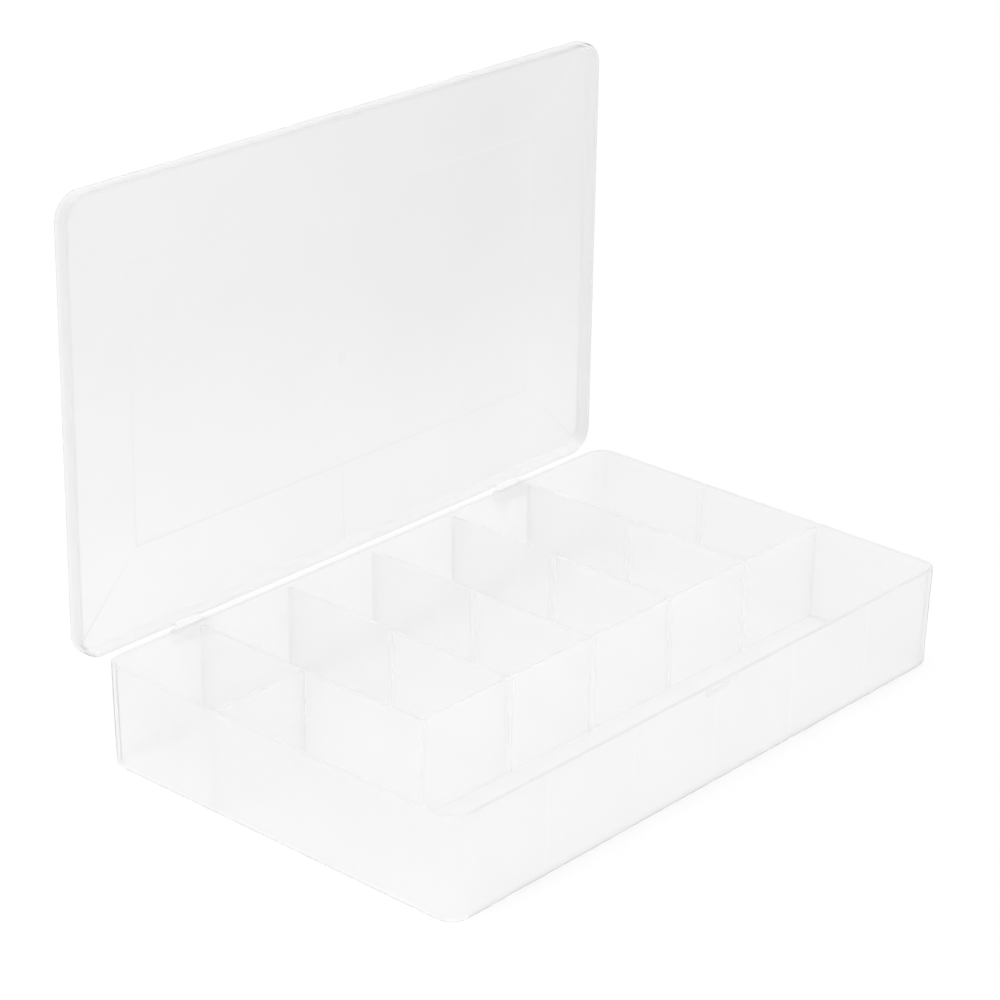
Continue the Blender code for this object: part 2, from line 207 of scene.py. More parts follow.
@dataclass(frozen=True)
class MouldedPlastic:
    """A see-through moulded plastic with a frosted surface.

    Polypropylene scatters light in its crystals, so it looks milky and pale, bright where light comes
    through and hardly darker where several walls lie behind each other. The mould's fine matt texture
    blurs what is seen through it, and slow clouds of haze show how the melt flowed. Its own IOR is
    1.49, but light that is scattered inside a wall leaves it again almost freely, so a low value is
    set here: the right one would trap that light, and the box would look dark grey.
    """

    name: str
    clear_colour: str
    haze_and_shade_colour: str
    transmission: float = 0.75
    roughness: float = 0.95
    roughness_spread: float = 0.05
    ior: float = 1.03
    cloud_mm: float = 40.0
    cloud_detail: float = 3.0
    cloud_share: float = 0.5
    ramps: tuple[PaintedShadeRamp, ...] = ()
    grain_mm: float = 0.9
    grain_detail: float = 2.0
    grain_depth_mm: float = 0.01
    grain_strength: float = 0.25

    def make(self) -> bpy.types.Material:
        """Build the material.

        Returns:
            A material on Object coordinates, with haze and painted shade in its colour and grain in its
            surface.
        """
        material = bpy.data.materials.new(self.name)
        material.use_nodes = True
        tree = material.node_tree
        shader = tree.nodes["Principled BSDF"]
        place = add_node(tree, "TexCoord").outputs["Object"]

        # The Mix node's sockets for colours are its inputs 6 and 7 and its output 2
        share = self.haze_and_shade_share(tree, place)
        colours = {0: share, 6: linear(self.clear_colour), 7: linear(self.haze_and_shade_colour)}
        haze = add_node(tree, "Mix", colours, data_type="RGBA")
        tree.links.new(haze.outputs[2], shader.inputs["Base Color"])

        # The real grain is about 0.05 mm; it is drawn coarser here, so that it shows at all
        fine = {"Vector": place, "Scale": 1 / (self.grain_mm * MM), "Detail": self.grain_detail}
        grain = add_node(tree, "TexNoise", fine).outputs["Fac"]
        low, high = self.roughness - self.roughness_spread, self.roughness + self.roughness_spread
        matt = add_node(tree, "MapRange", {"Value": grain, "To Min": low, "To Max": high})
        tree.links.new(matt.outputs["Result"], shader.inputs["Roughness"])
        depth = self.grain_depth_mm * MM
        relief = {"Height": grain, "Strength": self.grain_strength, "Distance": depth}
        bump = add_node(tree, "Bump", relief)
        tree.links.new(bump.outputs["Normal"], shader.inputs["Normal"])

        shader.inputs["IOR"].default_value = self.ior
        shader.inputs["Transmission Weight"].default_value = self.transmission
        return material

    def haze_and_shade_share(self, tree: bpy.types.NodeTree, place: bpy.types.NodeSocket) -> bpy.types.NodeSocket:
        """Add the nodes for how hazy the plastic is at a place: slow clouds, and ramps along its axes that
        paint shade.

        Args:
            tree: The material's nodes.
            place: The Object coordinates.

        Returns:
            A socket from 0, clear, to 1, hazy.
        """
        slow = {"Vector": place, "Scale": 1 / (self.cloud_mm * MM), "Detail": self.cloud_detail}
        clouds = {0: add_node(tree, "TexNoise", slow).outputs["Fac"], 1: self.cloud_share}
        haze = add_node(tree, "Math", clouds, operation="MULTIPLY")
        axes = add_node(tree, "SeparateXYZ", {0: place}).outputs
        for ramp in self.ramps:
            reach = {"Value": axes[ramp.axis], "From Min": ramp.clear * MM, "From Max": ramp.hazy * MM}
            level = add_node(tree, "MapRange", reach, interpolation_type="SMOOTHSTEP")
            grown = {0: level.outputs["Result"], 1: ramp.share, 2: haze.outputs[0]}
            haze = add_node(tree, "Math", grown, operation="MULTIPLY_ADD", use_clamp=True)
        return haze.outputs[0]


# Where painted shade darkens the mouldings: the tray at its right end and back, its foot near the ground
# as a painted contact shadow, the dividers at the back, the rims everywhere but at the left end and on the
# nub, and the lid towards its upper right and round the skirt's edges
TRAY_RAMPS = (
    PaintedShadeRamp("X", 30.0, 136.0, 0.1),
    PaintedShadeRamp("X", 130.0, 136.0, 0.3),
    PaintedShadeRamp("Y", 79.0, 84.0, 0.2),
)
FOOT_SHADOW_RAMPS = (PaintedShadeRamp("Z", 4.5, 0.3, 0.95),)
DIVIDER_RAMPS = (PaintedShadeRamp("Y", 0.0, 60.0, 0.7),)
RIM_RAMPS = (PaintedShadeRamp("X", -137.0, -125.0, 0.8), PaintedShadeRamp("Y", -84.9, -85.3, -0.5))
PANEL_RAMPS = (PaintedShadeRamp("Z", 40.0, 165.0, 0.42), PaintedShadeRamp("X", -140.0, 90.0, 0.26))
SKIRT_RAMPS = (
    PaintedShadeRamp("X", 134.0, 138.0, 0.8),
    PaintedShadeRamp("X", -134.0, -138.0, 0.35),
    PaintedShadeRamp("Z", 70.0, 38.0, 0.1),
    PaintedShadeRamp("Z", 38.9, 37.9, 0.3),
    PaintedShadeRamp("Z", 203.0, 210.0, 0.12),
    PaintedShadeRamp("Y", 94.2, 93.2, 0.3),
)

# Pale walls, bright where light comes through, which show what stands behind them as faint tones; the
# ramps above paint shade into them
TRAY_WALL = MouldedPlastic(
    "frosted_polypropylene_tray", "#fefefe", "#f5f5f5", cloud_share=0.3, ramps=TRAY_RAMPS
)
DIVIDER_WALL = MouldedPlastic(
    "frosted_polypropylene_divider", "#ffffff", "#fcfcfc", cloud_share=0.1, ramps=DIVIDER_RAMPS
)
NATURAL_DIVIDER = MouldedPlastic("natural_polypropylene_divider", "#ffffff", "#fdfdfd")

# The floor lies on the white paper and lets its light straight through
TRAY_FLOOR = MouldedPlastic("frosted_polypropylene_floor", "#fbfbfb", "#fafafa", transmission=1.0)

# Thin lines: ribs painted bright, rounds and rims painted dim as thin lines of shade, and a foot painted
# with a contact shadow that darkens towards the ground
BRIGHT_RIB = MouldedPlastic("milky_polypropylene_rib", "#ffffff", "#ffffff")
DIM_ROUND = MouldedPlastic("frosted_polypropylene_round", "#fcfcfc", "#fafafa")
TRAY_RIM = MouldedPlastic(
    "frosted_polypropylene_rim", "#fbfbfb", "#f1f1f1", cloud_share=0.2, ramps=RIM_RAMPS
)
TRAY_FOOT_SHADOW = MouldedPlastic(
    "frosted_polypropylene_foot", "#fefefe", "#e7e7e7", cloud_share=0.05, ramps=FOOT_SHADOW_RAMPS
)
CLEAR_HINGE = MouldedPlastic("natural_polypropylene_hinge", "#fefefe", "#fdfdfd", transmission=0.85)

# The lid's panel is clearer and greyer than the tray, with painted shade towards its upper right, and its
# skirt is painted darker at its ends and round its edges
LID_PANEL = MouldedPlastic(
    "frosted_polypropylene_panel",
    "#fbfbfb",
    "#eaeaea",
    transmission=0.92,
    roughness=0.7,
    ior=1.08,
    cloud_share=0.24,
    ramps=PANEL_RAMPS,
)
# The fold lines are painted darker, as shade in their creases; the gate mark shares this colour as a mark
# of its own
LID_FOLD = replace(
    LID_PANEL, name="frosted_polypropylene_fold", clear_colour="#ededed", haze_and_shade_colour="#f2f2f2"
)
LID_SKIRT = MouldedPlastic(
    "frosted_polypropylene_skirt", "#fefefe", "#f0f0f0", cloud_share=0.12, ramps=SKIRT_RAMPS
)


def take(pieces: Iterable[Piece]) -> None:
    """Select some objects alone, and make the first one active.

    Args:
        pieces: The objects to select.
    """
    bpy.ops.object.select_all(action="DESELECT")
    for piece in reversed(list(pieces)):
        piece.select_set(True)
        bpy.context.view_layer.objects.active = piece


def name_active(name: str) -> Piece:
    """Name the object that was just added, and put its place into its mesh.

    Args:
        name: The object's name.

    Returns:
        The named object, at the origin, unturned and unscaled.
    """
    piece = bpy.context.active_object
    piece.name = name
    piece.data.name = name
    bpy.ops.object.transform_apply(location=True, rotation=True, scale=True)
    return piece


def add_block(name: str, low: Point, high: Point) -> Piece:
    """Add a cube primitive between two corners.

    Args:
        name: The object's name.
        low: The lowest corner, in millimetres.
        high: The highest corner, in millimetres.

    Returns:
        The block.
    """
    bpy.ops.object.select_all(action="DESELECT")
    centre = (Vector(low) + Vector(high)) / 2 * MM
    size = (Vector(high) - Vector(low)) * MM
    bpy.ops.mesh.primitive_cube_add(size=1, location=centre, scale=size)
    return name_active(name)


def add_rod(name: str, centre: Point, radius: float, length: float, turn: Point = ALONG_X) -> Piece:
    """Add a cylinder primitive that lies along an axis.

    Args:
        name: The object's name.
        centre: The middle of the rod, in millimetres.
        radius: The rod's radius, in millimetres.
        length: The rod's length, in millimetres.
        turn: How it is turned to lie along its axis.

    Returns:
        The rod.
    """
    bpy.ops.object.select_all(action="DESELECT")
    bpy.ops.mesh.primitive_cylinder_add(
        vertices=ROUND_SEGMENTS,
        radius=radius * MM,
        depth=length * MM,
        location=Vector(centre) * MM,
        rotation=turn,
    )
    return name_active(name)


@dataclass
class EditMode:
    """Edit mode on one piece, where elements are picked in code by their place or normal."""

    piece: Piece

    def __enter__(self) -> "EditMode":
        """Select the piece alone and go to edit mode.

        Returns:
            This edit mode, for picking elements.
        """
        take([self.piece])
        bpy.ops.object.mode_set(mode="EDIT")
        return self

    def __exit__(self, *error: object) -> None:
        """Go back to object mode."""
        bpy.ops.object.mode_set(mode="OBJECT")

    def pick(self, kind: Element, test: Test) -> None:
        """Select the elements that pass a test, and no others.

        Args:
            kind: Which elements are tested.
            test: Says whether an element is wanted.
        """
        bpy.ops.mesh.select_mode(type=kind.name)
        bpy.ops.mesh.select_all(action="DESELECT")
        shape = bmesh.from_edit_mesh(self.piece.data)
        shape.normal_update()
        for element in getattr(shape, kind.value):
            if test(element):
                element.select_set(True)
        shape.select_flush_mode()
        bmesh.update_edit_mesh(self.piece.data)

    def bevel(self, test: Test, width: float, segments: int = SOFT_SEGMENTS) -> None:
        """Round the edges that pass a test.

        Args:
            test: Says whether an edge is wanted.
            width: The round's width, in millimetres.
            segments: How many strips make the round.
        """
        self.pick(Element.EDGE, test)
        bpy.ops.mesh.bevel(offset=width * MM, segments=segments, affect="EDGES")


def all_at(axis: int, place: float) -> Test:
    """Return a test for edges and faces whose every point lies at one place along an axis.

    Args:
        axis: 0, 1 or 2 for X, Y or Z.
        place: The place along that axis, in millimetres.

    Returns:
        The test.
    """
    return lambda element: all(abs(vert.co[axis] / MM - place) < NEAR for vert in element.verts)


def vert_at(axis: int, place: float) -> Test:
    """Return a test for points that lie at one place along an axis, given in millimetres."""
    return lambda vert: abs(vert.co[axis] / MM - place) < NEAR


def spread(face: Face, axis: int) -> float:
    """Return how far a face reaches along an axis, in millimetres."""
    places = [vert.co[axis] / MM for vert in face.verts]
    return max(places) - min(places)


def middle_of(face: Face) -> Vector:
    """Return the middle of a face's points, in millimetres."""
    return face.calc_center_median() / MM


def lowest(face: Face) -> float:
    """Return the height of a face's lowest point, in millimetres."""
    return min(vert.co.z for vert in face.verts) / MM


def highest(face: Face) -> float:
    """Return the height of a face's highest point, in millimetres."""
    return max(vert.co.z for vert in face.verts) / MM


def runs_along(axis: int) -> Test:
    """Return a test for edges that run mostly along an axis."""
    return lambda edge: abs((edge.verts[1].co - edge.verts[0].co).normalized()[axis]) > FLAT


def lies_over(height: float) -> Test:
    """Return a test for faces that lie over a height, given in millimetres."""
    return lambda face: lowest(face) > height - NEAR


def mark_faces(piece: Piece, zone: Zone, test: Test) -> None:
    """Put the faces that pass a test into the material slot of a zone.

    Args:
        piece: The piece, in edit or object mode.
        zone: The zone that the faces belong to.
        test: Says whether a face is wanted.
    """
    while len(piece.data.materials) <= zone.value:
        piece.data.materials.append(None)
    with EditMode(piece) as edit:
        edit.pick(Element.FACE, test)
        piece.active_material_index = zone.value
        bpy.ops.object.material_slot_assign()


def apply_modifier(piece: Piece, kind: str, **settings: object) -> None:
    """Add a modifier to a piece, set it and apply it.

    Args:
        piece: The piece to change.
        kind: The modifier's type.
        **settings: The modifier's properties.
    """
    take([piece])
    modifier = piece.modifiers.new(kind.lower(), kind)
    for name, value in settings.items():
        setattr(modifier, name, value)
    bpy.ops.object.modifier_apply(modifier=modifier.name)


def soften(piece: Piece, width: float, segments: int = SOFT_SEGMENTS) -> None:
    """Round every sharp edge of a piece, as a mould does.

    Args:
        piece: The piece to round.
        width: The round's width, in millimetres.
        segments: How many strips make the round.
    """
    apply_modifier(
        piece, "BEVEL", width=width * MM, segments=segments, limit_method="ANGLE", angle_limit=SHARP_ANGLE
    )


def combine(piece: Piece, tools: list[Piece], joining: Joining) -> None:
    """Join tools to a piece, or cut them out of it, and take the tools away.

    Args:
        piece: The piece to change.
        tools: Closed shapes that don't cross each other.
        joining: Whether the tools are added or cut out.
    """
    take(tools)
    if len(tools) > 1:
        bpy.ops.object.join()
    tool = tools[0]
    apply_modifier(piece, "BOOLEAN", object=tool, operation=joining.value, solver="EXACT")
    bpy.data.objects.remove(tool, do_unlink=True)


def wrap(pieces: list[Piece]) -> Piece:
    """Join pieces into the one convex shape that wraps them.

    Args:
        pieces: The pieces to wrap.

    Returns:
        The first piece, now the whole shape.
    """
    take(pieces)
    bpy.ops.object.join()
    with EditMode(pieces[0]):
        bpy.ops.mesh.select_all(action="SELECT")
        bpy.ops.mesh.convex_hull()
    return pieces[0]


def node_box(node: str) -> tuple[Vector, Vector]:
    """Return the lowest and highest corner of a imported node, in millimetres."""
    low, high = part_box(node)
    return Vector(low) / MM, Vector(high) / MM


def cross_divider_place(number: int) -> float:
    """Return the place of one cross divider along X, in millimetres."""
    low, high = node_box(f"cross_divider_{number}")
    return (low.x + high.x) / 2


def loose_divider_place() -> float:
    """Return the place of the loose divider along Y, in millimetres."""
    low, high = node_box("loose_divider")
    return (low.y + high.y) / 2


@dataclass(frozen=True)
class GuideRibs:
    """A pair of guide ribs that hold the end of a loose divider between them. Sizes in millimetres."""

    width: float = 0.55
    height: float = 0.7
    root: float = 0.4
    slot: float = 1.8
    nose_round: float = 0.2
    drop: float = 0.6

    def build(self, foot: Point, outward: Vector, top: float, lean: float = 0.0) -> list[Piece]:
        """Model the two ribs.

        Args:
            foot: The point of the wall's face between the ribs, at their base.
            outward: The way in which the ribs stand on the face.
            top: The height of the divider that carries the ribs.
            lean: How far the face falls back between the ribs' base and top.

        Returns:
            The two ribs.
        """
        along = Vector((outward.y, -outward.x, 0))
        axis = 0 if outward.x else 1
        half_way = (foot[2] + top) / 2
        ribs = []
        for side in (-1, 1):
            middle = Vector(foot) + along * side * (self.slot + self.width) / 2
            near = middle - outward * self.root - along * self.width / 2
            far = middle + outward * self.height + along * self.width / 2
            low = (min(near.x, far.x), min(near.y, far.y), foot[2])
            high = (max(near.x, far.x), max(near.y, far.y), top - self.drop)
            rib = add_block("guide_rib", low, high)
            nose = middle + outward * self.height
            with EditMode(rib) as edit:
                edit.bevel(all_at(axis, nose[axis]), self.nose_round, FINE_SEGMENTS)
                edit.pick(Element.VERT, lambda vert: vert.co.z / MM > half_way)
                bpy.ops.transform.translate(value=-outward * lean * MM)
            ribs.append(rib)
        return ribs


@dataclass(frozen=True)
class Hinge:
    """The sizes that the tray's lugs, the lid's arms and the pins share, in millimetres."""

    y: float = 91.0
    z: float = 33.8
    inset: float = 49.0
    barrel_radius: float = 3.0
    barrel_width: float = 11.5
    side_gap: float = 0.4
    lug_thickness: float = 2.4
    pin_radius: float = 1.5
    pin_gap: float = 0.3
    hole_excess: float = 2.0

    def places(self) -> dict[str, float]:
        """Return the middle of each hinge along X, by side."""
        reach = node_box("tray")[1].x - self.inset
        return {"left": -reach, "right": reach}

    def pin_length(self) -> float:
        """Return the length from the outer face of one lug to that of the other."""
        return self.barrel_width + 2 * (self.side_gap + self.lug_thickness)

    def holes(self) -> list[Piece]:
        """Model the rods that cut the holes for the pins.

        Returns:
            One rod for each side, a little longer than the pin.
        """
        radius = self.pin_radius + self.pin_gap
        length = self.pin_length() + self.hole_excess
        return [add_rod("pin_hole", (x, self.y, self.z), radius, length) for x in self.places().values()]


def finish_piece(
    piece: Piece, finishes: list[bpy.types.Material], body: Body, node: str
) -> None:
    """Dress a modelled piece and set it in the frame in place of its node.

    Args:
        piece: The modelled piece.
        finishes: Its materials, in the order of its faces' material slots.
        body: The body that it moves with.
        node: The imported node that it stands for.
    """
    take([piece])
    bpy.ops.object.shade_smooth_by_angle(angle=SHARP_ANGLE)
    apply_modifier(piece, "WEIGHTED_NORMAL", keep_sharp=True)
    for index, finish in enumerate(finishes):
        if index == len(piece.data.materials):
            piece.data.materials.append(None)
        piece.data.materials[index] = finish
    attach(piece, body.value)
    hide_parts(node)
    LOG.info("%s stands for %s: %d faces", piece.name, node, len(piece.data.polygons))


@dataclass
class Tray:
    """The open tray: tapered shell, guide ribs, hinge lugs and catch nub. Sizes in millimetres."""

    depth: float = 170.0
    wall: float = 1.5
    taper: float = 0.7
    corner_radius: float = 8.0
    edge_radius: float = 2.5
    rim_round: float = 0.35
    rib_strip: float = 1.4
    foot_band: float = 4.5
    nub_length: float = 13.0
    nub_proud: float = 0.45
    nub_drop: float = 0.9
    nub_height: float = 2.2
    nub_round: float = 0.4
    lug_top: float = 1.0
    lug_foot: float = 7.0
    lug_round: float = 0.3
    hinge: Hinge = field(default_factory=Hinge)
    ribs: GuideRibs = field(default_factory=GuideRibs)
    length: float = field(init=False)
    height: float = field(init=False)

    def __post_init__(self) -> None:
        """Read the tray's length and height from the frame."""
        low, high = node_box("tray")
        self.length = high.x - low.x
        self.height = high.z

    def build(self) -> Piece:
        """Model the tray.

        Returns:
            The whole moulding.
        """
        tray = self.shell()
        combine(tray, self.guides(), Joining.ADD)
        combine(tray, self.lugs(), Joining.ADD)
        combine(tray, self.hinge.holes(), Joining.CUT)
        combine(tray, [self.nub()], Joining.ADD)
        mark_faces(tray, Zone.EDGE, self.is_edge)
        mark_faces(tray, Zone.FOLD, self.is_rim)
        mark_faces(tray, Zone.HINGE, self.is_lug)
        mark_faces(tray, Zone.FOOT, self.is_foot)
        mark_faces(tray, Zone.FLOOR, self.is_floor)
        return tray

    def is_lug(self, face: Face) -> bool:
        """Return whether a face stands behind the back wall."""
        return middle_of(face).y > self.depth / 2 + NEAR

    def is_floor(self, face: Face) -> bool:
        """Return whether a face is one of the floor's flat faces."""
        return highest(face) < self.wall + NEAR and abs(face.normal.z) > FLAT

    def is_foot(self, face: Face) -> bool:
        """Return whether a face belongs to the foot of the front wall or the round under it, painted with
        a contact shadow.
        """
        past_corner = middle_of(face).x > self.corner_radius - self.length / 2
        return past_corner and face.normal.y < -NEAR and highest(face) < self.foot_band + NEAR

    def is_rim(self, face: Face) -> bool:
        """Return whether a face belongs to the rim or to the nub under it; the rim is painted darker as a
        thin line of shade.
        """
        on_nub = middle_of(face).y < -self.depth / 2 - NEAR
        return on_nub or lies_over(self.height - self.rim_round)(face)

    def is_edge(self, face: Face) -> bool:
        """Say whether a face is part of a guide rib, or of a strip of wall that backs a pair of ribs; both
        are painted light.

        Args:
            face: A face of the tray.

        Returns:
            Whether it is one.
        """
        middle = middle_of(face)
        if middle.y < -self.depth / 2 + self.taper:
            return spread(face, 0) < self.rib_strip + NEAR and lowest(face) > self.edge_radius - self.taper
        corner = self.corner_radius + self.wall
        at_end = abs(middle.x) > self.length / 2 - corner
        at_side = abs(middle.y) > self.depth / 2 - corner
        inside = abs(middle.y) < self.depth / 2 - self.wall
        narrow = max(spread(face, 0), spread(face, 1)) < self.ribs.height + self.ribs.root
        return inside and narrow and not (at_end and at_side)

    def shell(self) -> Piece:
        """Model the tapered shell with its round corners and softened rim.

        Returns:
            The shell.
        """
        half = Vector((self.length / 2, self.depth / 2))
        shell = add_block("tray_moulding", (-half.x, -half.y, 0), (half.x, half.y, self.height))
        with EditMode(shell) as edit:
            edit.pick(Element.VERT, vert_at(2, 0))
            shrink = (1 - self.taper / half.x, 1 - self.taper / half.y, 1)
            bpy.ops.transform.resize(value=shrink, center_override=(0, 0, 0))
            edit.bevel(runs_along(2), self.corner_radius, CORNER_SEGMENTS)
            edit.bevel(all_at(2, 0), self.edge_radius, EDGE_SEGMENTS)
            edit.pick(Element.FACE, all_at(2, self.height))
            bpy.ops.mesh.delete(type="FACE")
            self.draw_strips(edit)
        apply_modifier(shell, "SOLIDIFY", thickness=self.wall * MM, offset=-1, use_even_offset=True)
        soften(shell, self.rim_round, segments=FINE_SEGMENTS)
        return shell

    def draw_strips(self, edit: EditMode) -> None:
        """Part the foot of the front wall from it, for a painted contact shadow, and the strips before the
        ribs behind it, which are painted light.

        Args:
            edit: Edit mode on the tray's sheet.
        """
        edit.pick(Element.FACE, lambda face: face.normal.y < -FLAT)
        bpy.ops.mesh.bisect(plane_co=(0, 0, self.foot_band * MM), plane_no=(0, 0, 1))
        for number in CROSS_DIVIDERS:
            for side in (-1, 1):
                edit.pick(Element.FACE, lambda face: face.normal.y < -FLAT and spread(face, 0) > self.wall)
                place = (cross_divider_place(number) + side * self.rib_strip / 2) * MM
                bpy.ops.mesh.bisect(plane_co=(place, 0, 0), plane_no=(1, 0, 0))

    def guides(self) -> list[Piece]:
        """Model the guide ribs on the front wall and on both end walls.

        Returns:
            The ribs.
        """
        lean = self.taper * (1 - self.wall / self.height)
        front = -self.depth / 2 + self.wall + self.taper
        end = self.length / 2 - self.wall - self.taper
        top = node_box("long_divider")[1].z
        foot = self.wall - self.ribs.root
        back_row = loose_divider_place()
        pairs = []
        for number in CROSS_DIVIDERS:
            place = cross_divider_place(number)
            pairs += self.ribs.build((place, front, foot), Vector((0, 1, 0)), top, lean)
        pairs += self.ribs.build((-end, back_row, foot), Vector((1, 0, 0)), top, lean)
        pairs += self.ribs.build((end, back_row, foot), Vector((-1, 0, 0)), top, lean)
        return pairs

    def lugs(self) -> list[Piece]:
        """Model the two pairs of hinge lugs on the back wall.

        Returns:
            The four lugs.
        """
        hinge = self.hinge
        wall_middle = (self.depth - self.wall) / 2
        lugs = []
        for place in hinge.places().values():
            for side in (-1, 1):
                middle = place + side * (hinge.barrel_width + hinge.lug_thickness + 2 * hinge.side_gap) / 2
                near = middle - hinge.lug_thickness / 2
                far = middle + hinge.lug_thickness / 2
                centre = (middle, hinge.y, hinge.z)
                nose = add_rod("hinge_lug", centre, hinge.barrel_radius, hinge.lug_thickness)
                low = (near, wall_middle, hinge.z - self.lug_foot)
                foot = add_block("lug_foot", low, (far, self.depth / 2, hinge.z + self.lug_top))
                lug = wrap([nose, foot])
                soften(lug, self.lug_round)
                lugs.append(lug)
        return lugs

    def nub(self) -> Piece:
        """Model the catch nub in the middle of the front wall, just under the rim.

        Returns:
            The nub, with its root in the wall.
        """
        front = -self.depth / 2
        top = self.height - self.nub_drop
        low = (-self.nub_length / 2, front - self.nub_proud, top - self.nub_height)
        nub = add_block("catch_nub", low, (self.nub_length / 2, front + self.wall / 2, top))
        with EditMode(nub) as edit:
            edit.bevel(all_at(1, front - self.nub_proud), self.nub_round, FINE_SEGMENTS)
        return nub


def lean_end(piece: Piece, axis: int, place: float, lean: float, fillet: float) -> None:
    """Lean one end of a divider with the tapered wall that it meets, and clear the floor's fillet.

    Args:
        piece: The divider.
        axis: 0 or 1 for an end along X or Y.
        place: The end's place at its top, in millimetres.
        lean: How far the end draws in at its foot, towards the middle of the tray.
        fillet: The chamfer at the end's foot.
    """
    inward = Vector((0, 0, 0))
    inward[axis] = -math.copysign(lean, place) * MM
    with EditMode(piece) as edit:
        low = min(vert.co.z for vert in bmesh.from_edit_mesh(piece.data).verts)
        edit.pick(Element.VERT, lambda vert: vert_at(axis, place)(vert) and vert.co.z - low < NEAR * MM)
        bpy.ops.transform.translate(value=inward)
        bpy.ops.mesh.select_mode(type="EDGE")
        bpy.ops.mesh.bevel(offset=fillet * MM, segments=1, affect="EDGES")


@dataclass
class FixedDivider:
    """A divider that is moulded in one with the tray and carries guide ribs. Sizes in millimetres."""

    foot: float = 1.54
    thickness: float = 1.2
    lean: float = 0.64
    fillet: float = 1.0
    top_round: float = 0.45
    ribs: GuideRibs = field(default_factory=GuideRibs)

    def mould(
        self, name: str, low: Point, high: Point, axis: int, pairs: list[Piece], on_rib: Test
    ) -> Piece:
        """Model the divider's wall, and join its ribs to it.

        Args:
            name: The divider's name.
            low: The wall's lowest corner.
            high: The wall's highest corner.
            axis: 0 or 1 for a wall along X or Y, whose far end leans with the tray.
            pairs: The ribs.
            on_rib: Says whether a face belongs to a rib.

        Returns:
            The divider with its ribs.
        """
        divider = add_block(name, low, high)
        lean_end(divider, axis, high[axis], self.lean, self.fillet)
        with EditMode(divider) as edit:
            edit.bevel(all_at(2, high[2]), self.top_round)
        combine(divider, pairs, Joining.ADD)
        # The round of the top is painted dim, as a thin line of shade
        mark_faces(divider, Zone.FOLD, lies_over(high[2] - self.top_round))
        mark_faces(divider, Zone.EDGE, on_rib)
        return divider


@dataclass
class LongDivider(FixedDivider):
    """The lengthwise divider behind the front row, with guides on its front face."""

    def build(self) -> Piece:
        """Model the divider.

        Returns:
            The divider with its ribs.
        """
        low, high = node_box("long_divider")
        front = high.y - self.thickness
        pairs = []
        for number in CROSS_DIVIDERS[1:]:
            foot = (cross_divider_place(number), front, self.foot)
            pairs += self.ribs.build(foot, Vector((0, -1, 0)), high.z)

        def on_rib(face: Face) -> bool:
            """Return whether a face stands before the wall."""
            return middle_of(face).y < front - NEAR

        return self.mould("long_divider_wall", (low.x, front, self.foot), tuple(high), 0, pairs, on_rib)


@dataclass
class CrossDividers(FixedDivider):
    """The dividers from the long divider to the back wall, with guides on both faces."""

    def build(self, number: int) -> Piece:
        """Model one divider.

        Args:
            number: The divider's number, counted from the left.

        Returns:
            The divider with its ribs.
        """
        low, high = node_box(f"cross_divider_{number}")
        place = cross_divider_place(number)
        half = self.thickness / 2
        pairs = []
        for side in (-1, 1):
            foot = (place + side * half, loose_divider_place(), self.foot)
            pairs += self.ribs.build(foot, Vector((side, 0, 0)), high.z)

        def on_rib(face: Face) -> bool:
            """Return whether a face stands beside the wall."""
            return abs(middle_of(face).x - place) > half + NEAR

        near = (place - half, low.y, self.foot)
        far = (place + half, high.y, high.z)
        return self.mould(f"cross_divider_wall_{number}", near, far, 1, pairs, on_rib)


@dataclass
class LooseDivider:
    """The divider that slides down between the guides of the left column. In millimetres."""

    lean: float = 0.64
    fillet: float = 1.0
    edge_round: float = 0.3

    def build(self) -> Piece:
        """Model the divider.

        Returns:
            The plain plate with softened edges.
        """
        low, high = node_box("loose_divider")
        divider = add_block("loose_divider_plate", tuple(low), tuple(high))
        lean_end(divider, 0, low.x, self.lean, self.fillet)
        soften(divider, self.edge_round)
        mark_faces(divider, Zone.FOLD, lies_over(high.z - self.edge_round))
        return divider


